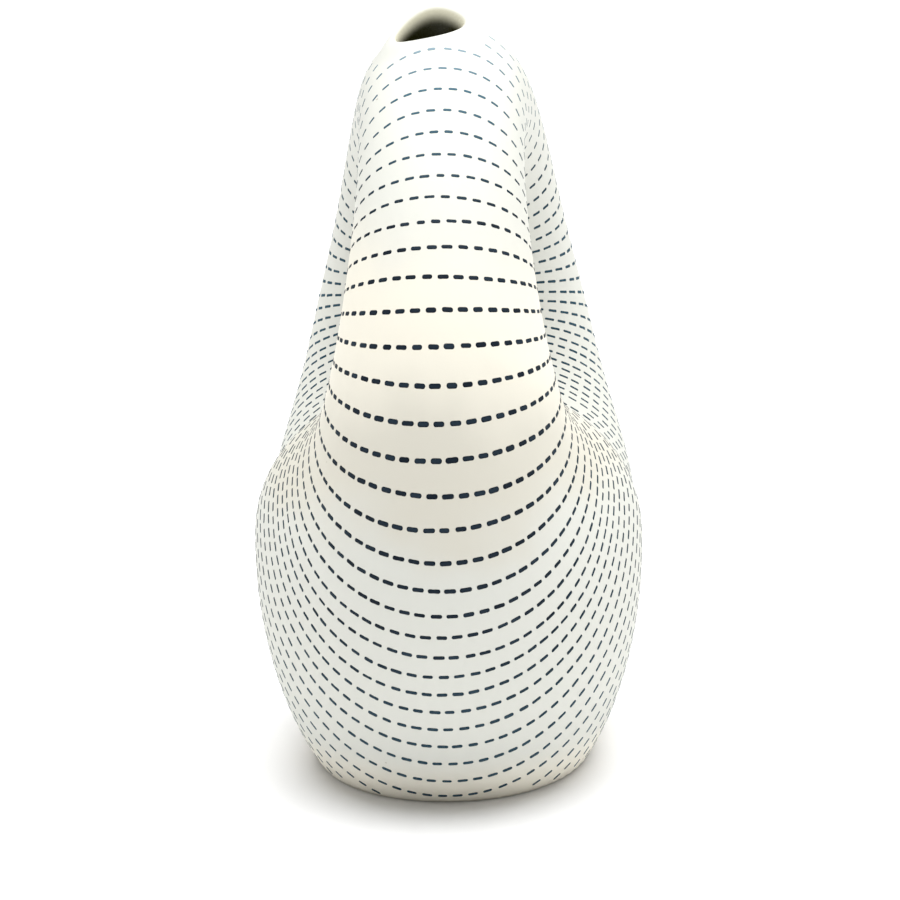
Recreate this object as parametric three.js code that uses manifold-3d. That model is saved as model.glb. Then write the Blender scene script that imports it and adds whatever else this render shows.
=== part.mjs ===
// Bud vase in the form of a ring. One hollow porcelain tube rises from a wide belly as two limbs,
// goes round an oval hole that runs from side to side, and closes in a crown with the mouth in it.
// Millimetres, seen from the front: +X to the right, +Y to the back, +Z up, with the origin on the
// floor in the middle of the vase. Angles round the ring start at the back limb and pass the crown
// at 90, the front limb at 180 and the belly at 270 degrees.
import * as THREE from 'three';
import { ParametricGeometry } from 'three/addons/geometries/ParametricGeometry.js';
import { mergeVertices } from 'three/addons/utils/BufferGeometryUtils.js';
import Module from 'manifold-3d';

// Heights, from the floor up
const BELLY_HEIGHT = 80;
const HOLE_HEIGHT = 48;
const CROWN_THICKNESS = 34;

// Depths, from the front to the back
const FRONT_LIMB_DEPTH = 52.5;
const HOLE_DEPTH = 40;
const BACK_LIMB_DEPTH = 47.5;

// Lie of the outline and of the hole: how far the crown leans back, how far the crown and the foot
// are set back from the limbs, how far the hole's top leans back, and how far the outline's curve
// would run on below the floor if the foot weren't cut flat
const CROWN_LEAN = 11;
const ENDS_SET_BACK = 9.5;
const HOLE_LEAN = -2.5;
const FOOT_CUT = 20;

// Half-widths, every 45 degrees round the ring
const BACK_LIMB_HALF_WIDTH = 33.7;
const BACK_SHOULDER_HALF_WIDTH = 25.4;
const CROWN_HALF_WIDTH = 19.2;
const FRONT_SHOULDER_HALF_WIDTH = 18.6;
const FRONT_LIMB_HALF_WIDTH = 26.3;
const BELLY_FRONT_HALF_WIDTH = 41.5;
const BELLY_HALF_WIDTH = 42;
const BELLY_BACK_HALF_WIDTH = 41.5;

// At the same places: by how many degrees a ring's inner end runs ahead of its outer end, and how
// far out from the hole the ring is widest, as a share of its depth
const RING_FAN = [-21, -24, 0, 25, 31, 8, 4, -13];
const WIDEST_SHARE = [0.38, 0.37, 0.45, 0.47, 0.46, 0.35, 0.34, 0.37];

// Roundness of the rings: 2 is an ellipse, more is squarer
const RING_POWER = 2.05;
const BELLY_POWER = 2.1;

// Wall of the pot, its floor, and the glaze that lines it
const WALL = 4.5;
const FLOOR_THICKNESS = 6;
const GLAZE_THICKNESS = 0.6;
const GLAZE_CLEARANCE = 0.3;

// Mouth: a round hole, tipped forward and to one side on the crown. The top of its thin lip is the
// crown's own surface, moved up, back and aside, and the lip flares out to where it ends in the wall
const MOUTH_RADIUS = 8;
const MOUTH_SET_BACK = 10;
const MOUTH_OFFSET = -2.5;
const MOUTH_TIP_FORWARD = 16;
const MOUTH_TIP_ASIDE = 12;
const LIP_UP = 2.9;
const LIP_BACK = 5;
const LIP_ASIDE = 0.5;
const LIP_THICKNESS = 0.8;
const LIP_FLARE = 1.6;
const LIP_DEPTH = 5;

// Facets: rings round the loop, points round each ring, and points round the mouth
const OUTER_RINGS = 72;
const OUTER_POINTS = 28;
const INNER_RINGS = 54;
const INNER_POINTS = 18;
const MOUTH_POINTS = 32;

// Worked-out sizes
const CROWN_TOP = BELLY_HEIGHT + HOLE_HEIGHT + CROWN_THICKNESS;
const OUTLINE_HALF_HEIGHT = (CROWN_TOP + FOOT_CUT) / 2;
const OUTLINE_MIDDLE_Z = (CROWN_TOP - FOOT_CUT) / 2;
const OUTLINE_HALF_DEPTH = (FRONT_LIMB_DEPTH + HOLE_DEPTH + BACK_LIMB_DEPTH) / 2;
const HOLE_MIDDLE_Z = BELLY_HEIGHT + HOLE_HEIGHT / 2;
const HOLE_MIDDLE_Y = FRONT_LIMB_DEPTH + HOLE_DEPTH / 2 - OUTLINE_HALF_DEPTH;
const HALF_WIDTHS = [
  BACK_LIMB_HALF_WIDTH,
  BACK_SHOULDER_HALF_WIDTH,
  CROWN_HALF_WIDTH,
  FRONT_SHOULDER_HALF_WIDTH,
  FRONT_LIMB_HALF_WIDTH,
  BELLY_FRONT_HALF_WIDTH,
  BELLY_HALF_WIDTH,
  BELLY_BACK_HALF_WIDTH,
];
const FULL_TURN = 2 * Math.PI;

const { Manifold, Mesh: SolidMesh } = await Module().then((library) => {
  library.setup();
  return library;
});

// Smooth closed curve through values that stand evenly round the ring
function around(values, angle) {
  const count = values.length;
  const place = ((angle / FULL_TURN) % 1) * count;
  const first = Math.floor(place);
  const t = place - first;
  const [a, b, c, d] = [-1, 0, 1, 2].map((step) => values[(first + step + count) % count]);
  const cubic = 3 * (b - c) + d - a;
  const square = 2 * a - 5 * b + 4 * c - d;
  return b + 0.5 * t * (c - a + t * (square + t * cubic));
}

// Side outline of the vase, drawn in by inset
function outlineY(angle, inset) {
  const rise = Math.sin(angle);
  const reach = (OUTLINE_HALF_DEPTH - inset) * Math.cos(angle);
  return reach + CROWN_LEAN * rise + ENDS_SET_BACK * rise * rise;
}

function outlineZ(angle, inset) {
  return OUTLINE_MIDDLE_Z + (OUTLINE_HALF_HEIGHT - inset) * Math.sin(angle);
}

// Middle of the outline from front to back, which the origin lies under
function outlineMiddle() {
  const steps = Array.from({ length: 720 }, (_, step) => outlineY((step / 720) * FULL_TURN, 0));
  return (Math.max(...steps) + Math.min(...steps)) / 2;
}

const ORIGIN_Y = outlineMiddle();

// Share of a ring's reach at a turn, for a ring squarer than an ellipse
function rounded(value, power) {
  return Math.sign(value) * Math.abs(value) ** (2 / power);
}

// Point of the tube's surface, on the ring at angle, turn round that ring, drawn in by inset
function tubePoint(angle, turn, inset, target) {
  const inner = angle + THREE.MathUtils.degToRad(around(RING_FAN, angle));
  const holeDepth = HOLE_DEPTH / 2 + inset;
  const holeHeight = HOLE_HEIGHT / 2 + inset;
  const innerY = HOLE_MIDDLE_Y + holeDepth * Math.cos(inner) + HOLE_LEAN * Math.sin(inner);
  const innerZ = HOLE_MIDDLE_Z + holeHeight * Math.sin(inner);
  const lowness = Math.max(0, -Math.sin(angle)) ** 2;
  const power = RING_POWER + (BELLY_POWER - RING_POWER) * lowness;
  const out = rounded(Math.sin(turn), power);
  const widest = around(WIDEST_SHARE, angle);
  const share = widest + out * (out > 0 ? 1 - widest : widest);
  const x = (around(HALF_WIDTHS, angle) - inset) * rounded(Math.cos(turn), power);
  const y = innerY + share * (outlineY(angle, inset) - innerY) - ORIGIN_Y;
  const z = innerZ + share * (outlineZ(angle, inset) - innerZ);
  return target.set(x, y, z);
}

// Closed solid from a geometry, with its shared vertices merged
function toSolid(geometry) {
  const bare = geometry.clone();
  bare.deleteAttribute('normal');
  bare.deleteAttribute('uv');
  const merged = mergeVertices(bare);
  return new Manifold(new SolidMesh({
    numProp: 3,
    vertProperties: new Float32Array(merged.attributes.position.array),
    triVerts: new Uint32Array(merged.index.array),
  }));
}

// Whole tube drawn in by inset and cut flat at a height above the floor
function tube(inset, flatAt, rings, points) {
  const surface = (u, v, target) => tubePoint((v % 1) * FULL_TURN, (u % 1) * FULL_TURN, inset, target);
  const side = 4 * OUTLINE_HALF_HEIGHT;
  const below = new THREE.BoxGeometry(side, side, side).translate(0, 0, flatAt - side / 2);
  return toSolid(new ParametricGeometry(surface, points, rings)).subtract(toSolid(below));
}

// Height of the crown's outline over a place from front to back
function crownHeight(y) {
  let [front, back] = [Math.PI, 0];
  for (let halving = 0; halving < 40; halving += 1) {
    const middle = (front + back) / 2;
    if (outlineY(middle, 0) - ORIGIN_Y < y) front = middle;
    else back = middle;
  }
  return outlineZ(front, 0);
}

// Stands a geometry made round +Y, with the crown's surface at its origin, in the mouth's place
function onMouth(geometry) {
  return geometry
    .rotateX(Math.PI / 2 + THREE.MathUtils.degToRad(MOUTH_TIP_FORWARD))
    .rotateY(-THREE.MathUtils.degToRad(MOUTH_TIP_ASIDE))
    .translate(MOUTH_OFFSET, MOUTH_SET_BACK, crownHeight(MOUTH_SET_BACK));
}

// Lip that stands round the mouth and goes down into the crown's wall
function lip() {
  const edge = MOUTH_RADIUS + LIP_THICKNESS;
  const collar = new THREE.CylinderGeometry(edge, edge + LIP_FLARE, LIP_UP + LIP_DEPTH, MOUTH_POINTS)
    .translate(0, (LIP_UP - LIP_DEPTH) / 2, 0);
  const raised = tube(0, 0, OUTER_RINGS, OUTER_POINTS).translate(LIP_ASIDE, LIP_BACK, LIP_UP);
  return toSolid(onMouth(collar)).intersect(raised);
}

// Round way in through the lip and the crown's wall to the hollow
function bore() {
  const length = 2 * (LIP_UP + 3 * WALL);
  return toSolid(onMouth(new THREE.CylinderGeometry(MOUTH_RADIUS, MOUTH_RADIUS, length, MOUTH_POINTS)));
}

function namedMesh(name, solid, material) {
  const { vertProperties, triVerts } = solid.getMesh();
  const geometry = new THREE.BufferGeometry();
  geometry.setAttribute('position', new THREE.BufferAttribute(vertProperties, 3));
  geometry.setIndex(new THREE.BufferAttribute(triVerts, 1));
  geometry.computeVertexNormals();
  const mesh = new THREE.Mesh(geometry, material);
  mesh.name = name;
  return mesh;
}

const glazeOutside = WALL + GLAZE_CLEARANCE;
const glazeInside = glazeOutside + GLAZE_THICKNESS;
const glazeFloor = FLOOR_THICKNESS + GLAZE_CLEARANCE;

const pot = tube(0, 0, OUTER_RINGS, OUTER_POINTS)
  .add(lip())
  .subtract(tube(WALL, FLOOR_THICKNESS, INNER_RINGS, INNER_POINTS))
  .subtract(bore());

const lining = tube(glazeOutside, glazeFloor, INNER_RINGS, INNER_POINTS)
  .subtract(tube(glazeInside, glazeFloor + GLAZE_THICKNESS, INNER_RINGS, INNER_POINTS))
  .subtract(bore());

const porcelain = new THREE.MeshStandardMaterial({ color: 0xf4f0e6, roughness: 0.62, metalness: 0 });
const oliveGlaze = new THREE.MeshStandardMaterial({ color: 0xada98c, roughness: 0.12, metalness: 0 });

const vase = new THREE.Group();
vase.add(namedMesh('porcelain_body', pot, porcelain));
vase.add(namedMesh('inner_glaze', lining, oliveGlaze));

export default vase;
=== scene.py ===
import math

import bmesh
import bpy
import numpy as np
from mathutils import Matrix, Vector
from mathutils.bvhtree import BVHTree


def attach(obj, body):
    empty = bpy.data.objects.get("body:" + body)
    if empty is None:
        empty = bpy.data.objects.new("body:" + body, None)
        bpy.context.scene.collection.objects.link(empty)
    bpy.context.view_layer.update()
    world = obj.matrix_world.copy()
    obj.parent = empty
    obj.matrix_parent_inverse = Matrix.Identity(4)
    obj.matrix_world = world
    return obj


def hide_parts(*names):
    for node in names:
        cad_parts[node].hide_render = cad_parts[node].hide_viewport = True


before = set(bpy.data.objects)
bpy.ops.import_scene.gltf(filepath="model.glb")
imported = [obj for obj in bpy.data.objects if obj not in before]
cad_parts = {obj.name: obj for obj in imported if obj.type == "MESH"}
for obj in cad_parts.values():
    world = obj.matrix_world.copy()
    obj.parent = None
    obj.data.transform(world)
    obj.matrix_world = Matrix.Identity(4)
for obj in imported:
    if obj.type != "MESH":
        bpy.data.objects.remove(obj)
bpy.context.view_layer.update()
MM = 0.001

# Camera: a long lens a little above the vase, square to its front limb and a touch to the right of it.
# The picture is taken as 900 pixels square, and the vase leans slightly to the left in it.
IMAGE_WIDTH = 900
FOCAL_PIXELS = 3171
SENSOR_WIDTH = 36
EYE = Vector((21.2, -698.7, 211)) * MM
AIM = Vector((0.2, 0, 67.7)) * MM
LEAN = 0.019

forward = (AIM - EYE).normalized()
level_right = forward.cross(Vector((0, 0, 1))).normalized()
level_up = level_right.cross(forward)
camera_right = level_right * math.cos(LEAN) - level_up * math.sin(LEAN)
camera_up = level_right * math.sin(LEAN) + level_up * math.cos(LEAN)
lens = bpy.data.cameras.new("camera")
lens.sensor_width = SENSOR_WIDTH
lens.lens = SENSOR_WIDTH * FOCAL_PIXELS / IMAGE_WIDTH
camera = bpy.data.objects.new("camera", lens)
camera.matrix_world = Matrix((camera_right, camera_up, -forward)).transposed().to_4x4()
camera.location = EYE
bpy.context.scene.collection.objects.link(camera)
bpy.context.scene.camera = camera

# Studio: a white sheet that runs far back over the table, with a white wall at each side, the right one a
# little brighter, less light from the front and the back, and one broad strong lamp high over the vase. The
# sheet comes out as pure white, except in the soft shadow under the belly and beside the foot.
SHEET_SIDE = 14.0
SHEET_COLOUR = (0.86, 0.86, 0.86, 1)
SHEET_ROUGHNESS = 0.9
WHITE = (1, 1, 1, 1)
ROOM_LIGHT = 0.12
WALL_LIGHT = 0.68
WALL_FULL_FROM = 0.6
RIGHT_WALL_EXTRA = 0.13
WALL_BRIGHTNESS = 1.2
LAMP_FROM = Vector((0.05, 0.11, 1.0))
LAMP_SPREAD = math.radians(64)
LAMP_STRENGTH = 5.2


class Wire:
    """One output of a shader node. Sums on wires add Math nodes to the same material."""

    MIX_FACTOR, MIX_FIRST, MIX_SECOND, MIX_COLOUR = 0, 6, 7, 2

    def __init__(self, tree, output=None):
        self.tree = tree
        self.output = output

    def node(self, kind, settings=None, sockets=None, output=0):
        """Adds a node, sets it up, feeds its sockets with values or wires, and gives one output."""
        made = self.tree.nodes.new(kind)
        for name, value in (settings or {}).items():
            setattr(made, name, value)
        for name, value in (sockets or {}).items():
            if isinstance(value, Wire):
                self.tree.links.new(value.output, made.inputs[name])
            else:
                made.inputs[name].default_value = value
        return Wire(self.tree, made.outputs[output])

    def sum(self, operation, first, second):
        return self.node("ShaderNodeMath", {"operation": operation}, {0: first, 1: second})

    def __add__(self, other):
        return self.sum("ADD", self, other)

    __radd__ = __add__

    def __sub__(self, other):
        return self.sum("SUBTRACT", self, other)

    def __rsub__(self, other):
        return self.sum("SUBTRACT", other, self)

    def __mul__(self, other):
        return self.sum("MULTIPLY", self, other)

    __rmul__ = __mul__

    def __gt__(self, other):
        return self.sum("GREATER_THAN", self, other)

    def blend(self, first, second):
        """Colour between two colours, by this wire."""
        sockets = {self.MIX_FACTOR: self, self.MIX_FIRST: first, self.MIX_SECOND: second}
        return self.node("ShaderNodeMix", {"data_type": "RGBA"}, sockets, self.MIX_COLOUR)

    def ramp(self, low, high):
        """This wire, drawn out smoothly from 0 at low to 1 at high."""
        limits = {"Value": self, "From Min": low, "From Max": high}
        return self.node("ShaderNodeMapRange", {"interpolation_type": "SMOOTHSTEP"}, limits)

    def mark(self, label):
        """Value that each point of the piece carries under this label."""
        return self.node("ShaderNodeAttribute", {"attribute_name": label}, output="Fac")

    def finish(self, **sockets):
        """Ends the material in one shader with these sockets."""
        named = {name.replace("_", " "): value for name, value in sockets.items()}
        self.end("ShaderNodeOutputMaterial", self.node("ShaderNodeBsdfPrincipled", sockets=named))

    def end(self, kind, shader):
        """Leads a shader to an output of this kind."""
        output = self.tree.nodes.new(kind)
        self.tree.links.new(shader.output, output.inputs["Surface"])


def new_finish(name):
    """Material with nothing in it yet, and a wire to build it on."""
    material = bpy.data.materials.new(name)
    material.use_nodes = True
    material.node_tree.nodes.clear()
    return material, Wire(material.node_tree)


lamp = bpy.data.lights.new("overhead_lamp", "SUN")
lamp.angle = LAMP_SPREAD
lamp.energy = LAMP_STRENGTH
overhead_lamp = bpy.data.objects.new("overhead_lamp", lamp)
overhead_lamp.rotation_euler = LAMP_FROM.to_track_quat("Z", "Y").to_euler()
bpy.context.scene.collection.objects.link(overhead_lamp)

studio = bpy.data.worlds.new("studio")
studio.use_nodes = True
studio.node_tree.nodes.clear()
air = Wire(studio.node_tree)
outlook = air.node("ShaderNodeTexCoord", output="Generated")
sideways = air.node("ShaderNodeSeparateXYZ", sockets={"Vector": outlook}, output="X")
to_walls = (sideways * sideways).ramp(0.0, WALL_FULL_FROM)
light = ROOM_LIGHT + (WALL_LIGHT - ROOM_LIGHT) * to_walls * (1 + RIGHT_WALL_EXTRA * sideways)
seen = air.node("ShaderNodeLightPath", output="Is Camera Ray")
light = air.sum("MAXIMUM", light, WALL_BRIGHTNESS * seen)
walls = air.node("ShaderNodeBackground", sockets={"Color": WHITE, "Strength": light})
air.end("ShaderNodeOutputWorld", walls)
bpy.context.scene.world = studio
bpy.context.scene.view_settings.view_transform = "Standard"

sheet_mesh = bpy.data.meshes.new("table_sheet")
sheet_bm = bmesh.new()
bmesh.ops.create_grid(sheet_bm, x_segments=1, y_segments=1, size=SHEET_SIDE / 2)
sheet_bm.to_mesh(sheet_mesh)
sheet_bm.free()
white_sheet, paper = new_finish("white_sheet")
paper.finish(Base_Color=SHEET_COLOUR, Roughness=SHEET_ROUGHNESS)
sheet_mesh.materials.append(white_sheet)
table_sheet = bpy.data.objects.new("table_sheet", sheet_mesh)
bpy.context.scene.collection.objects.link(table_sheet)

# Pot: one hollow tube of cast porcelain that rises from a wide belly as two limbs, goes round an oval
# hole and closes in a crown. It is fired bare, so it is matte, with a few iron specks in the clay, and
# it stands on a flat foot. Its mouth is a round hole in the crown, with a lip that rounds over inward.
BELLY_HEIGHT = 80 * MM
HOLE_HEIGHT = 48 * MM
CROWN_THICKNESS = 34 * MM
FRONT_LIMB_DEPTH = 52.5 * MM
HOLE_DEPTH = 40 * MM
BACK_LIMB_DEPTH = 47.5 * MM
CROWN_LEAN = 11 * MM
ENDS_SET_BACK = 9.5 * MM
HOLE_LEAN = -2.5 * MM
FOOT_CUT = 20 * MM
FOOT_EDGE = 0.8 * MM

# Every 45 degrees round the ring, from the back limb over the crown, the front limb and the belly:
# half-widths, by how many degrees a ring's inner end runs ahead, and where it is widest
HALF_WIDTHS = [33.7 * MM, 25.4 * MM, 19.2 * MM, 18.6 * MM, 26.3 * MM, 41.5 * MM, 42 * MM, 41.5 * MM]
RING_FAN = [-21, -24, 0, 25, 31, 8, 4, -13]
WIDEST_SHARE = [0.38, 0.37, 0.45, 0.47, 0.46, 0.35, 0.34, 0.37]
RING_POWER = 2.05
BELLY_POWER = 2.1

WALL = 4.5 * MM
FLOOR_THICKNESS = 6 * MM
INNER_EDGE = 3 * MM
MOUTH_CENTRE = np.array([-2.8, 10.0]) * MM
MOUTH_RADIUS = 6.8 * MM
LIP_WIDTH = 2.0 * MM
LIP_DROP = 4.0 * MM
LIP_RISE = 2.1 * MM
LIP_RISE_RIGHT = 0.5 * MM
LIP_RISE_BACK = 0.95 * MM
LIP_PEAK = 0.9 * MM
LIP_PEAK_SHARPNESS = 4
LIP_FLARE = 4.5 * MM

# Fineness: points of the outline, rings and points of the skin, how many of them swing out round the mouth
# and which share of those its hole takes, rows of points down the lip and the bore, and for finding a place
# on the crown, the rounds and the widest share of its half-width
OUTLINE_POINTS = 720
RINGS = 360
POINTS = 128
PATCH_RINGS = 16
PATCH_POINTS = 20
HOLE_SHARE = 0.5
LIP_ROUNDS = 10
BORE_ROUNDS = 4
PLACING_ROUNDS = 24
WIDEST_REACH = 0.999

CROWN_TOP = BELLY_HEIGHT + HOLE_HEIGHT + CROWN_THICKNESS
CROWN_MIDDLE_Z = CROWN_TOP - CROWN_THICKNESS / 2
OUTLINE_HALF_HEIGHT = (CROWN_TOP + FOOT_CUT) / 2
OUTLINE_MIDDLE_Z = (CROWN_TOP - FOOT_CUT) / 2
OUTLINE_HALF_DEPTH = (FRONT_LIMB_DEPTH + HOLE_DEPTH + BACK_LIMB_DEPTH) / 2
HOLE_MIDDLE_Z = BELLY_HEIGHT + HOLE_HEIGHT / 2
HOLE_MIDDLE_Y = FRONT_LIMB_DEPTH + HOLE_DEPTH / 2 - OUTLINE_HALF_DEPTH
LIP_EDGE_RADIUS = MOUTH_RADIUS + LIP_WIDTH
THROAT_LENGTH = WALL + LIP_RISE
FULL_TURN = 2 * math.pi


def around(values, angle):
    """Smooth closed curve through values that stand evenly round the ring."""
    values = np.asarray(values, float)
    place = np.mod(angle / FULL_TURN, 1) * len(values)
    first = np.floor(place).astype(int)
    t = place - first
    a, b, c, d = (values[(first + step) % len(values)] for step in (-1, 0, 1, 2))
    cubic = 3 * (b - c) + d - a
    square = 2 * a - 5 * b + 4 * c - d
    return b + 0.5 * t * (c - a + t * (square + t * cubic))


def outline_y(angle, inset=0.0):
    """Depth of the vase's side outline, drawn in by inset."""
    rise = np.sin(angle)
    return (OUTLINE_HALF_DEPTH - inset) * np.cos(angle) + CROWN_LEAN * rise + ENDS_SET_BACK * rise ** 2


outline_depths = outline_y(np.linspace(0, FULL_TURN, OUTLINE_POINTS, endpoint=False))
ORIGIN_Y = (outline_depths.max() + outline_depths.min()) / 2


def rounded(value, power):
    """Share of a ring's reach at a turn, for a ring squarer than an ellipse."""
    return np.sign(value) * np.abs(value) ** (2 / power)


def tube_point(angle, turn, inset=0.0):
    """Points of the tube's surface on the ring at angle, a turn round that ring, drawn in by inset."""
    inner = angle + np.radians(around(RING_FAN, angle))
    inner_y = HOLE_MIDDLE_Y + (HOLE_DEPTH / 2 + inset) * np.cos(inner) + HOLE_LEAN * np.sin(inner)
    inner_z = HOLE_MIDDLE_Z + (HOLE_HEIGHT / 2 + inset) * np.sin(inner)
    outer_y = outline_y(angle, inset)
    outer_z = OUTLINE_MIDDLE_Z + (OUTLINE_HALF_HEIGHT - inset) * np.sin(angle)
    lowness = np.maximum(0, -np.sin(angle)) ** 2
    power = RING_POWER + (BELLY_POWER - RING_POWER) * lowness
    out = rounded(np.sin(turn), power)
    widest = around(WIDEST_SHARE, angle)
    share = widest + out * np.where(out > 0, 1 - widest, widest)
    x = (around(HALF_WIDTHS, angle) - inset) * rounded(np.cos(turn), power)
    y = inner_y + share * (outer_y - inner_y) - ORIGIN_Y
    z = inner_z + share * (outer_z - inner_z)
    return np.stack([x, y, z], -1)


def crown_place(plan, inset):
    """Ring angle and turn of the crown's points over these places on the floor."""
    angle = np.full(len(plan), math.pi / 2)
    # Rounding with this power undoes rounding with the rings' own
    unrounding = 4 / RING_POWER
    for _ in range(PLACING_ROUNDS):
        reach = np.clip(plan[:, 0] / (around(HALF_WIDTHS, angle) - inset), -WIDEST_REACH, WIDEST_REACH)
        turn = np.arccos(rounded(reach, unrounding))
        angle = angle + (tube_point(angle, turn, inset)[:, 1] - plan[:, 1]) / OUTLINE_HALF_DEPTH
    return angle, turn


def stand_on(points, floor, edge):
    """Flattens what runs below a floor, with a soft edge."""
    height = points[:, 2] - floor
    eased = (height + edge) ** 2 / (4 * edge)
    points[:, 2] = floor + np.where(height > edge, height, np.where(height < -edge, 0, eased))
    return points


def lip_rise(from_mouth):
    """How far the lip's top stands over the crown, round the mouth. Its back is drawn up in a low peak."""
    out = from_mouth / np.linalg.norm(from_mouth, axis=-1, keepdims=True)
    rise = LIP_RISE + LIP_RISE_RIGHT * out[..., 0] + LIP_RISE_BACK * out[..., 1]
    return rise + LIP_PEAK * np.maximum(0, out[..., 1]) ** LIP_PEAK_SHARPNESS


def flare_to_lip(points):
    """Draws the crown's top up round the mouth to the height of the lip."""
    from_mouth = points[..., :2] - MOUTH_CENTRE
    beyond = np.clip((np.linalg.norm(from_mouth, axis=-1) - LIP_EDGE_RADIUS) / LIP_FLARE, 0, 1)
    beyond = np.where(points[..., 2] > CROWN_MIDDLE_Z, beyond, 1)
    points[..., 2] += lip_rise(from_mouth) * (1 - beyond) ** 2 * (1 + 2 * beyond)
    return points


mouth_angle, mouth_turn = (float(value[0]) for value in crown_place(MOUTH_CENTRE[None], 0.0))
mouth_ring = round(mouth_angle / FULL_TURN * RINGS)
mouth_point = round(mouth_turn / FULL_TURN * POINTS)


def open_skin(inset, hole_radius, floor, edge):
    """Grid of points over the whole tube, opened round the mouth: the grid's lines there swing out to a
    circle. Gives the points, the grid's faces and the circle's points in order."""
    grids = np.meshgrid(np.arange(RINGS), np.arange(POINTS), indexing="ij")
    ring, point = (grid.ravel() for grid in grids)
    ring_off = (ring - mouth_ring + RINGS // 2) % RINGS - RINGS // 2
    point_off = (point - mouth_point + POINTS // 2) % POINTS - POINTS // 2
    angle = ring * FULL_TURN / RINGS
    turn = point * FULL_TURN / POINTS
    reach = np.maximum(np.abs(ring_off) / PATCH_RINGS, np.abs(point_off) / PATCH_POINTS)
    near = (reach >= HOLE_SHARE) & (reach < 1)
    far_angle = (mouth_ring + ring_off[near] / reach[near]) * FULL_TURN / RINGS
    far_turn = (mouth_point + point_off[near] / reach[near]) * FULL_TURN / POINTS
    away = tube_point(far_angle, far_turn, inset)[:, :2] - MOUTH_CENTRE
    circle = MOUTH_CENTRE + hole_radius * away / np.linalg.norm(away, axis=1)[:, None]
    circle_angle, circle_turn = crown_place(circle, inset)
    out = (reach[near] - HOLE_SHARE) / (1 - HOLE_SHARE)
    angle[near] = circle_angle + out * (far_angle - circle_angle)
    turn[near] = circle_turn + out * (far_turn - circle_turn)
    points = stand_on(tube_point(angle, turn, inset), floor, edge)

    def at(rings, places):
        return (rings % RINGS) * POINTS + places % POINTS

    half_rings = round(HOLE_SHARE * PATCH_RINGS)
    half_points = round(HOLE_SHARE * PATCH_POINTS)
    in_hole = (ring_off >= -half_rings) & (ring_off < half_rings)
    in_hole &= (point_off >= -half_points) & (point_off < half_points)
    corners = [at(ring, point), at(ring + 1, point), at(ring + 1, point + 1), at(ring, point + 1)]
    cells = np.stack(corners, -1)
    sides = [(-half_rings, place) for place in range(-half_points, half_points)]
    sides += [(step, half_points) for step in range(-half_rings, half_rings)]
    sides += [(half_rings, place) for place in range(half_points, -half_points, -1)]
    sides += [(step, -half_points) for step in range(half_rings, -half_rings, -1)]
    loop = [int(at(mouth_ring + step, mouth_point + place)) for step, place in sides]
    return points, cells[~in_hole].tolist(), loop


def strip(first, second):
    """Faces between two rows of points that each go once round."""
    return [(first[k - 1], first[k], second[k], second[k - 1]) for k in range(len(first))]


def closed_piece(name, points, faces, marks):
    """Smooth mesh object on the vase's body, with no loose points and with its faces turned outward. Marks
    are values that each point carries for the piece's material."""
    mesh = bpy.data.meshes.new(name)
    mesh.from_pydata(points.tolist(), [], faces)
    for label, values in marks.items():
        mark = mesh.attributes.new(label, "FLOAT", "POINT")
        mark.data.foreach_set("value", np.asarray(values, np.float32))
    bm = bmesh.new()
    bm.from_mesh(mesh)
    bmesh.ops.delete(bm, geom=[vertex for vertex in bm.verts if not vertex.link_faces], context="VERTS")
    bmesh.ops.recalc_face_normals(bm, faces=bm.faces)
    for face in bm.faces:
        face.smooth = True
    bm.to_mesh(mesh)
    bm.free()
    piece = bpy.data.objects.new(name, mesh)
    bpy.context.scene.collection.objects.link(piece)
    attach(piece, "root")
    return piece


outer, outer_faces, outer_rim = open_skin(0.0, LIP_EDGE_RADIUS, 0.0, FOOT_EDGE)
outer = flare_to_lip(outer)
inner, inner_faces, inner_rim = open_skin(WALL, MOUTH_RADIUS, FLOOR_THICKNESS, INNER_EDGE)
rim_out = outer[outer_rim]
rim_way = rim_out[:, :2] - MOUTH_CENTRE
rim_way /= np.linalg.norm(rim_way, axis=1)[:, None]
inside_angle, inside_turn = crown_place(MOUTH_CENTRE + MOUTH_RADIUS * rim_way, 0.0)
inside_z = tube_point(inside_angle, inside_turn)[:, 2] + lip_rise(rim_way)
lip_rows = []
lip_depths = []
for step in range(1, LIP_ROUNDS + 1):
    bend = math.pi / 2 * step / LIP_ROUNDS
    inward = math.sin(bend)
    drop = LIP_DROP * (1 - math.cos(bend))
    plan = MOUTH_CENTRE + (LIP_EDGE_RADIUS - LIP_WIDTH * inward) * rim_way
    level = rim_out[:, 2] + (inside_z - rim_out[:, 2]) * inward - drop
    lip_rows.append(np.column_stack([plan, level]))
    lip_depths.append(drop / THROAT_LENGTH)
lip_foot = lip_rows[-1]
for step in range(1, BORE_ROUNDS):
    lip_rows.append(lip_foot + (inner[inner_rim] - lip_foot) * step / BORE_ROUNDS)
    lip_depths.append((LIP_DROP + (THROAT_LENGTH - LIP_DROP) * step / BORE_ROUNDS) / THROAT_LENGTH)

pot_points = np.concatenate([outer, *lip_rows, inner])
lip_marks = np.repeat(lip_depths, len(outer_rim))
throat = np.concatenate([np.zeros(len(outer)), lip_marks, np.ones(len(inner))])
lip_start = len(outer)
inner_start = lip_start + len(lip_rows) * len(outer_rim)
loops = [outer_rim]
loops += [[lip_start + k * len(outer_rim) + n for n in range(len(outer_rim))] for k in range(len(lip_rows))]
loops.append([inner_start + index for index in inner_rim])
pot_faces = outer_faces + [[inner_start + index for index in face] for face in inner_faces]
for first, second in zip(loops, loops[1:]):
    pot_faces += strip(first, second)
porcelain_pot = closed_piece("porcelain_pot", pot_points, pot_faces, {"throat": throat})

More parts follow.
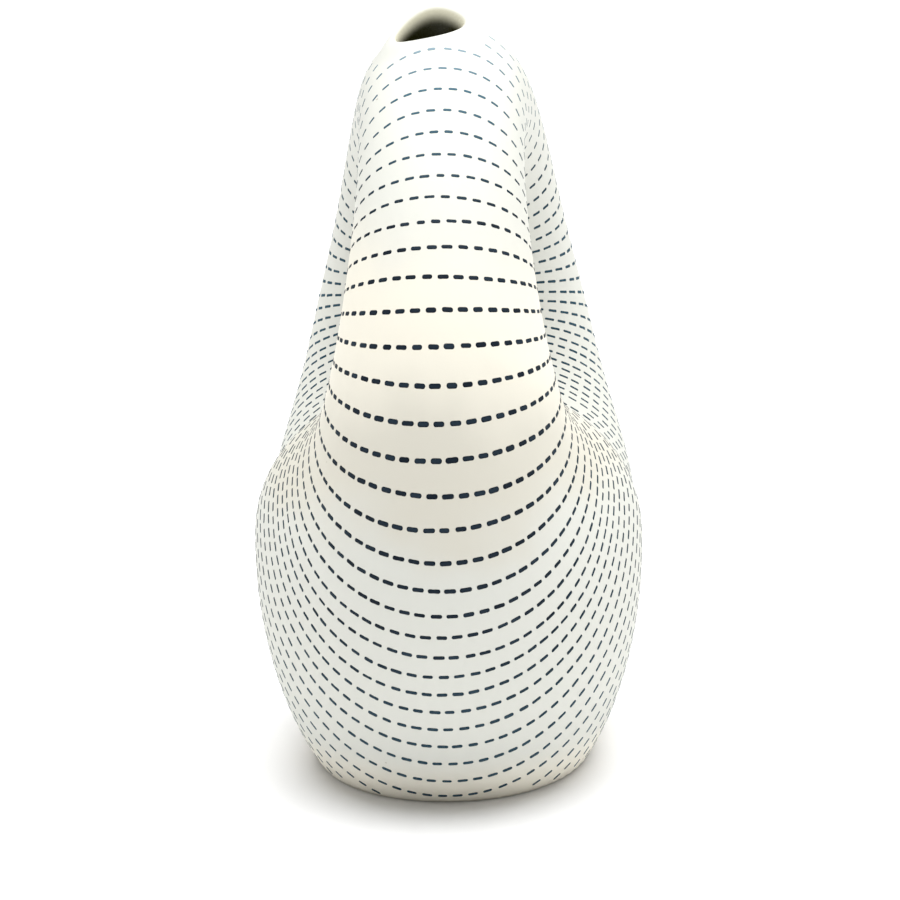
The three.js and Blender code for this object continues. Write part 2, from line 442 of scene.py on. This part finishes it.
# Clay: ivory, with rare iron specks. Over the front a warm flush lies over the top of the belly, darker
# there, which is painted shade, and pales to cream on the limb, which is painted light. The pale cream foot
# rim is painted light that lifts the shade near the floor. The glaze from inside starts on the lip's round,
# and its darkening down the throat is painted shade.
IVORY = (0.66, 0.665, 0.615, 1)
# Flush: painted shade over the top of the belly. Cream: painted light on the limb, in a warm hue
FLUSH_AND_PAINTED_SHADE = (0.64, 0.618, 0.538, 1)
CREAM_AND_PAINTED_LIGHT = (0.8, 0.768, 0.665, 1)
# The pale foot colour is painted light that lifts the shade near the floor
FOOT_PAINTED_LIGHT = (0.87, 0.83, 0.72, 1)
IRON_SPECK = (0.2, 0.14, 0.08, 1)
THROAT_RIM = (0.6, 0.58, 0.45, 1)
# The throat's colour darkens from the rim into painted shade of the hollow
THROAT_PAINTED_SHADE = (0.02, 0.02, 0.003, 1)
WARM_FROM = (58 * MM, 72 * MM)
CREAM_FROM = (76 * MM, 98 * MM)
WARM_UNTIL = (108 * MM, 134 * MM)
WARM_BACK_TO = (-40 * MM, 20 * MM)
FOOT_PAINTED_LIGHT_UNTIL = (2 * MM, 14 * MM)
THROAT_FROM = (0.0, 0.15)
THROAT_DARKENS = (0.2, 0.66)
NOISE_MIDDLE = 0.5
CLOUDS_PER_METRE = 28.0
CLOUD_DETAIL = 3.0
CLOUD_WANDER = 40 * MM
GRAINS_PER_METRE = 1400.0
GRAIN_DETAIL = 2.0
GRAIN_HEIGHT = 0.05 * MM
GRAIN_BUMP = 0.25
SPECK_CELLS_PER_METRE = 95.0
SPECK_SIZE = (0.015, 0.035)
SPECK_RARITY = 0.45
SPECK_STRENGTH = 0.75
CLAY_ROUGHNESS = 0.5
GRAIN_ROUGHNESS = 0.14
THROAT_SMOOTHNESS = 0.3
CLAY_SHINE = 0.2

bare_porcelain, clay = new_finish("bare_porcelain")
place = clay.node("ShaderNodeTexCoord", output="Object")
depth = clay.node("ShaderNodeSeparateXYZ", sockets={"Vector": place}, output="Y")
height = clay.node("ShaderNodeSeparateXYZ", sockets={"Vector": place}, output="Z")
clouds = {"Vector": place, "Scale": CLOUDS_PER_METRE, "Detail": CLOUD_DETAIL}
cloud = clay.node("ShaderNodeTexNoise", sockets=clouds)
grains = {"Vector": place, "Scale": GRAINS_PER_METRE, "Detail": GRAIN_DETAIL}
grain = clay.node("ShaderNodeTexNoise", sockets=grains)
speck_cells = {"Vector": place, "Scale": SPECK_CELLS_PER_METRE}
speck_reach = clay.node("ShaderNodeTexVoronoi", sockets=speck_cells, output="Distance")
speck_colour = clay.node("ShaderNodeTexVoronoi", sockets=speck_cells, output="Color")
speck_chance = clay.node("ShaderNodeSeparateColor", sockets={"Color": speck_colour})
speck = (1 - speck_reach.ramp(*SPECK_SIZE)) * (speck_chance > SPECK_RARITY)
warm_height = height + CLOUD_WANDER * (cloud - NOISE_MIDDLE)
# Painted shade and light: darker over the front of the belly's top, paler cream on the limb
warmth_and_painted_light = warm_height.ramp(*WARM_FROM) * (1 - warm_height.ramp(*WARM_UNTIL))
warm_tint_and_painted_light = warm_height.ramp(*CREAM_FROM).blend(FLUSH_AND_PAINTED_SHADE, CREAM_AND_PAINTED_LIGHT)
tint = (warmth_and_painted_light * (1 - depth.ramp(*WARM_BACK_TO))).blend(IVORY, warm_tint_and_painted_light)
# Painted light: the lowest 14 mm turn pale cream
tint = (1 - height.ramp(*FOOT_PAINTED_LIGHT_UNTIL)).blend(tint, FOOT_PAINTED_LIGHT)
tint = (speck * SPECK_STRENGTH).blend(tint, IRON_SPECK)
in_throat = clay.mark("throat").ramp(*THROAT_FROM)
# Painted shade: darker the deeper down the throat
throat_glaze_and_painted_shade = clay.mark("throat").ramp(*THROAT_DARKENS).blend(THROAT_RIM, THROAT_PAINTED_SHADE)
grain_relief = {"Strength": GRAIN_BUMP, "Distance": GRAIN_HEIGHT, "Height": grain}
clay.finish(
    Base_Color=in_throat.blend(tint, throat_glaze_and_painted_shade),
    Roughness=CLAY_ROUGHNESS + GRAIN_ROUGHNESS * grain - THROAT_SMOOTHNESS * in_throat,
    Normal=clay.node("ShaderNodeBump", sockets=grain_relief),
    Specular_IOR_Level=CLAY_SHINE,
)
porcelain_pot.data.materials.append(bare_porcelain)
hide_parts("porcelain_body")

# Lining: the glaze that was poured round the inside, so that the pot holds water. It is glossy and it
# starts under the mouth. Its dark olive colour is painted shade of the deep hollow, lighter near the mouth
# than low down.
GLAZE_GAP = 0.3 * MM
GLAZE_THICKNESS = 0.6 * MM
# Both lining colours are painted shade of the hollow, the lighter one near the mouth
PAINTED_SHADE_NEAR_MOUTH = (0.2, 0.19, 0.12, 1)
PAINTED_SHADE_DEEP = (0.09, 0.09, 0.05, 1)
PAINTED_SHADE_NEAR_MOUTH_FROM = (CROWN_TOP - 14 * MM, CROWN_TOP - 4 * MM)
STREAKS_PER_METRE = 120.0
STREAK_DETAIL = 3.0
STREAK_WANDER = 6 * MM
GLAZE_ROUGHNESS = 0.1
STREAK_ROUGHNESS = 0.1

glaze_depth = GLAZE_GAP + GLAZE_THICKNESS
outside, outside_faces, outside_rim = open_skin(
    WALL + GLAZE_GAP, MOUTH_RADIUS, FLOOR_THICKNESS + GLAZE_GAP, INNER_EDGE
)
inside, inside_faces, inside_rim = open_skin(
    WALL + glaze_depth, MOUTH_RADIUS, FLOOR_THICKNESS + glaze_depth, INNER_EDGE
)
lining_faces = outside_faces + [[len(outside) + index for index in face] for face in inside_faces]
lining_faces += strip(outside_rim, [len(outside) + index for index in inside_rim])
glaze_lining = closed_piece("glaze_lining", np.concatenate([outside, inside]), lining_faces, {})

poured_glaze, pool = new_finish("poured_glaze")
place = pool.node("ShaderNodeTexCoord", output="Object")
height = pool.node("ShaderNodeSeparateXYZ", sockets={"Vector": place}, output="Z")
streaks = {"Vector": place, "Scale": STREAKS_PER_METRE, "Detail": STREAK_DETAIL}
streak = pool.node("ShaderNodeTexNoise", sockets=streaks)
# Painted shade: darkest low in the pot, lighter near the mouth
painted_shade_lift = (height + STREAK_WANDER * (streak - NOISE_MIDDLE)).ramp(*PAINTED_SHADE_NEAR_MOUTH_FROM)
pool.finish(
    Base_Color=painted_shade_lift.blend(PAINTED_SHADE_DEEP, PAINTED_SHADE_NEAR_MOUTH),
    Roughness=GLAZE_ROUGHNESS + STREAK_ROUGHNESS * streak,
)
glaze_lining.data.materials.append(poured_glaze)
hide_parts("inner_glaze")

# Inlay: rows of short dashes that were cut round the tube and filled with dark blue slip before firing.
# Each dash is a pad set in the clay and a hair proud of it, darker at its edge than in the middle. The rows
# were laid by hand, so they wander and their dashes differ a little.
FIRST_ROW = 107.6
DASH_PERIOD = 3.3 * MM
MOUTH_CLEAR = 3.5 * MM
FOOT_CLEAR = 1.3 * MM
CROWDED = 1.7 * MM
THINNEST_DASH = 0.25 * MM
DASH_SHARE_OF_ROOM = 0.11
CORNERS = 4
CORNER_SHARE = 0.85
CORNER_STEPS = 3
ROW_STEPS = 721
ROW_WANDER = math.radians(0.12)
ROW_WAVES = 3
SPACING_SPREAD = 0.025
LENGTH_SPREAD = 0.045
WIDTH_SPREAD = 0.05
TWIST_SPREAD = 0.025
HAND_SEED = 11
FULL_CIRCLE = 360

# Every 22.5 degrees round the ring, degrees from row to row, and every 45 degrees, a dash's length and
# how bold it is for the room it has
ROW_PITCH = [4.5, 4.9, 5.1, 6.8, 7.8, 5.6, 3.55, 4.8, 4.35, 2.95, 4.3, 4.8, 5.4, 5.3, 5.6, 4.6]
DASH_LENGTHS = [2.3 * MM, 2.1 * MM, 1.85 * MM, 1.95 * MM, 2.4 * MM, 2.15 * MM, 2.1 * MM, 2.2 * MM]
DASH_BOLDNESS = [1.15, 1.0, 0.7, 0.88, 1.08, 1.06, 1.04, 1.08]

# From the sunk edge of a dash to its heart: share of its half-width, height over the clay, heart
DASH_ROUNDS = [
    (1.0, -0.15 * MM, 0.0),
    (1.0, 0.012 * MM, 0.0),
    (0.78, 0.045 * MM, 0.6),
    (0.48, 0.05 * MM, 1.0),
]

# Degrees round the ring that each piece of the inlay takes, from the back of the crown on
INLAY_REGIONS = {
    "crown_inlay": (45, 135),
    "front_limb_inlay": (135, 200),
    "front_belly_inlay": (200, 270),
    "back_belly_inlay": (270, 340),
    "back_limb_inlay": (340, 405),
}

hand = np.random.default_rng(HAND_SEED)
clay_faces = BVHTree.FromPolygons(outer.tolist(), outer_faces)


def clay_point(angle, turn):
    """Points of the pot's outside, the flare to its lip included."""
    return flare_to_lip(tube_point(angle, turn))


def along_and_across(angle, turn):
    """Steps of turn for each metre along a row, and of angle and turn for each metre across it, at these
    places, with the outward normals and the width of a radian of ring angle across the row."""
    nudge = 1e-4
    by_angle = (clay_point(angle + nudge, turn) - clay_point(angle - nudge, turn)) / (2 * nudge)
    by_turn = (clay_point(angle, turn + nudge) - clay_point(angle, turn - nudge)) / (2 * nudge)
    normal = np.cross(by_turn, by_angle)
    normal /= np.linalg.norm(normal, axis=-1, keepdims=True)
    speed = np.linalg.norm(by_turn, axis=-1)
    across = np.cross(normal, by_turn / speed[:, None])
    gauge = np.sum(across * by_angle, -1)
    slant = np.sum(by_angle * by_turn, -1) / speed ** 2
    return 1 / speed, 1 / gauge, -slant / gauge, normal, np.abs(gauge)


def dash_row(number, row_angle):
    """Places and sizes of one row's dashes. They are thinner where the rows draw together. None lie in the
    mouth or under the foot, and where the rows crowd, only every second, fourth or eighth one goes on."""
    angle = math.radians(row_angle)
    turns = np.linspace(0, FULL_TURN, ROW_STEPS)
    path = clay_point(np.full_like(turns, angle), turns)
    travel = np.concatenate([[0], np.cumsum(np.linalg.norm(np.diff(path, axis=0), axis=1))])
    count = round(travel[-1] / DASH_PERIOD)
    starts = (np.arange(count) + hand.uniform(0, 1) + hand.normal(0, SPACING_SPREAD, count)) / count % 1
    turn = np.interp(starts * travel[-1], travel, turns)
    angles = angle + ROW_WANDER * np.sin(turn * ROW_WAVES + hand.uniform(0, FULL_TURN))
    centre = clay_point(angles, turn)
    pitch = math.radians(float(around(ROW_PITCH, angle)))
    length = float(around(DASH_LENGTHS, angle))
    boldness = float(around(DASH_BOLDNESS, angle))
    *_, gauge = along_and_across(angles, turn)
    room = gauge * pitch
    mouth_gap = np.linalg.norm(centre[:, :2] - MOUTH_CENTRE, axis=1) - LIP_EDGE_RADIUS
    kept = (mouth_gap > MOUTH_CLEAR) | (centre[:, 2] < CROWN_MIDDLE_Z)
    kept &= centre[:, 2] > FOOT_CLEAR
    skip = 2 ** np.ceil(np.log2(np.maximum(CROWDED / room, 1)))
    kept &= number % skip == 0
    width = boldness * (THINNEST_DASH + DASH_SHARE_OF_ROOM * room * skip)
    row = {
        "row": np.full(count, row_angle),
        "angle": angles,
        "turn": turn,
        "length": length * hand.normal(1, LENGTH_SPREAD, count),
        "width": width * hand.normal(1, WIDTH_SPREAD, count),
        "twist": hand.normal(0, TWIST_SPREAD, count),
        "shade": hand.uniform(0, 1, count),
    }
    return {name: values[kept] for name, values in row.items()}


crown_pitch = float(around(ROW_PITCH, math.pi / 2))
last_row = FIRST_ROW + FULL_CIRCLE - crown_pitch
row_angles = [FIRST_ROW]
while row_angles[-1] < last_row:
    row_angles.append(row_angles[-1] + float(around(ROW_PITCH, np.radians(row_angles[-1]))))
dash_rows = [dash_row(number, row_angle) for number, row_angle in enumerate(row_angles)]
dashes = {name: np.concatenate([row[name] for row in dash_rows]) for name in dash_rows[0]}

quarters = np.repeat(np.arange(CORNERS), CORNER_STEPS + 1)
bends = (quarters + np.tile(np.linspace(0, 1, CORNER_STEPS + 1), CORNERS)) * math.pi / 2
corner_along = np.sign(np.cos((quarters + 0.5) * math.pi / 2))
corner_across = np.sign(np.sin((quarters + 0.5) * math.pi / 2))


def inlay_piece(name, dash):
    """These dashes as one object, whose points are marked with how near they are to their dash's heart and
    with the dash's shade."""
    by_turn, by_angle, slant, normal, _ = along_and_across(dash["angle"], dash["turn"])
    rounds = []
    for share, lift, _ in DASH_ROUNDS:
        half_width = (share * dash["width"] / 2)[:, None]
        half_length = (dash["length"] / 2 - (1 - share) * dash["width"] / 2)[:, None]
        corner = CORNER_SHARE * half_width
        along = corner_along * (half_length - corner) + corner * np.cos(bends)
        across = corner_across * (half_width - corner) + corner * np.sin(bends)
        across = across + dash["twist"][:, None] * along
        there = clay_point(dash["angle"][:, None] + across * by_angle[:, None],
                           dash["turn"][:, None] + along * by_turn[:, None] + across * slant[:, None])
        resting = [clay_faces.find_nearest(point)[0] for point in there.reshape(-1, 3).tolist()]
        rounds.append(np.reshape(resting, there.shape) + lift * normal[:, None])
    points = np.stack(rounds, 1)
    count, levels, each, _ = points.shape
    faces = []
    for start in range(0, count * levels * each, levels * each):
        loops = [[start + k * each + n for n in range(each)] for k in range(levels)]
        for first, second in zip(loops, loops[1:]):
            faces += strip(first, second)
        faces += [loops[0], loops[-1]]
    hearts = np.repeat([heart for _, _, heart in DASH_ROUNDS], each)
    marks = {"heart": np.tile(hearts, count), "shade": np.repeat(dash["shade"], levels * each)}
    return closed_piece(name, points.reshape(-1, 3), faces, marks)


# Slip: nearly black blue, paler at a dash's heart. It is thinner and more teal near the foot and on the
# flanks. On the crown and the back limb it is paler and more teal, and round the mouth it is palest: all
# three are painted light.
SLIP_EDGE = (0.001, 0.003, 0.008, 1)
SLIP_HEART = (0.018, 0.033, 0.05, 1)
THIN_SLIP_AND_PAINTED_LIGHT = (0.08, 0.19, 0.255, 1)
PAINTED_LIGHT_SLIP = (0.32, 0.42, 0.47, 1)
# The crown's and the back limb's paler, more teal slip is painted light
CROWN_PAINTED_LIGHT = 0.8
CROWN_PAINTED_LIGHT_HEIGHTS = (122 * MM, 164 * MM)
FOOT_THINNESS = 0.25
FOOT_HEIGHTS = (5 * MM, 50 * MM)
BACK_PAINTED_LIGHT = 0.3
BACK_PAINTED_LIGHT_DEPTHS = (0.0, 45 * MM)
FLANK_THINNESS = 0.12
FLANK_REACH = (14 * MM, 36 * MM)
# The palest slip at the top, round the mouth, is painted light
TOP_PAINTED_LIGHT = 0.75
TOP_PAINTED_LIGHT_HEIGHTS = (150 * MM, 161 * MM)
HEART_PALENESS = 0.25
SHADE_PALENESS = 0.6
MOTTLE_PALENESS = 0.5
MOTTLES_PER_METRE = 2600.0
MOTTLE_DETAIL = 2.0
MOTTLE_HEIGHT = 0.04 * MM
MOTTLE_BUMP = 0.3
SLIP_ROUGHNESS = 0.5
MOTTLE_ROUGHNESS = 0.2
SLIP_SHINE = 0.1

blue_slip, slip = new_finish("blue_slip")
place = slip.node("ShaderNodeTexCoord", output="Object")
aside = slip.node("ShaderNodeSeparateXYZ", sockets={"Vector": place}, output="X")
depth = slip.node("ShaderNodeSeparateXYZ", sockets={"Vector": place}, output="Y")
height = slip.node("ShaderNodeSeparateXYZ", sockets={"Vector": place}, output="Z")
mottles = {"Vector": place, "Scale": MOTTLES_PER_METRE, "Detail": MOTTLE_DETAIL}
mottle = slip.node("ShaderNodeTexNoise", sockets=mottles)
paleness = slip.mark("heart") * (HEART_PALENESS + SHADE_PALENESS * slip.mark("shade"))
paleness = paleness + MOTTLE_PALENESS * (mottle - NOISE_MIDDLE)
# Painted light: paler teal slip on the crown and the back limb; thinner slip near the foot and flanks
thinness_and_painted_light = CROWN_PAINTED_LIGHT * height.ramp(*CROWN_PAINTED_LIGHT_HEIGHTS) + FOOT_THINNESS * (1 - height.ramp(*FOOT_HEIGHTS))
thinness_and_painted_light = thinness_and_painted_light + BACK_PAINTED_LIGHT * depth.ramp(*BACK_PAINTED_LIGHT_DEPTHS)
flank_near, flank_far = FLANK_REACH
thinness_and_painted_light = thinness_and_painted_light + FLANK_THINNESS * (aside * aside).ramp(flank_near ** 2, flank_far ** 2)
slip_tint = thinness_and_painted_light.blend(paleness.blend(SLIP_EDGE, SLIP_HEART), THIN_SLIP_AND_PAINTED_LIGHT)
mottle_relief = {"Strength": MOTTLE_BUMP, "Distance": MOTTLE_HEIGHT, "Height": mottle}
# Base Color: the palest slip at the top is painted light
slip.finish(
    Base_Color=(TOP_PAINTED_LIGHT * height.ramp(*TOP_PAINTED_LIGHT_HEIGHTS)).blend(slip_tint, PAINTED_LIGHT_SLIP),
    Roughness=SLIP_ROUGHNESS + MOTTLE_ROUGHNESS * mottle,
    Normal=slip.node("ShaderNodeBump", sockets=mottle_relief),
    Specular_IOR_Level=SLIP_SHINE,
)

first_degree = INLAY_REGIONS["crown_inlay"][0]
row_places = (dashes["row"] - first_degree) % FULL_CIRCLE + first_degree
for name, (start, end) in INLAY_REGIONS.items():
    chosen = (row_places >= start) & (row_places < end)
    inlay = inlay_piece(name, {label: values[chosen] for label, values in dashes.items()})
    inlay.data.materials.append(blue_slip)
